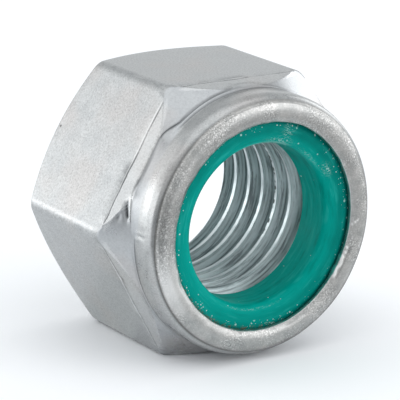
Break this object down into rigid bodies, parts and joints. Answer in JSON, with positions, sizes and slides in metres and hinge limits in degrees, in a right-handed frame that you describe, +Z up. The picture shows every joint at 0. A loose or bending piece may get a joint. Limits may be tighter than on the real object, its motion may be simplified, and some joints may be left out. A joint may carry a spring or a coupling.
{
  "type": "lock nut",
  "caption": "Hexagon lock nut: plated steel body with a crimped collar that traps a green nylon locking ring at the end of its thread.",
  "frame": {"origin": "on the thread axis, half way between the bearing face and the crown of the lip", "axes": "+Y along the thread axis out of the bearing face, -Y out of the collar, +Z up with the nut lying on one flat, +X along a line from corner to corner"},
  "size_m": [0.0416, 0.0276, 0.0364],
  "materials": {
    "plated_steel": "bright zinc plating, satin, with a matte crimped lip",
    "green_nylon": "moulded nylon, semi-gloss"
  },
  "bodies": {
    "root": {"nut_body": "plated_steel", "locking_insert": "green_nylon"}
  },
  "joints": []
}
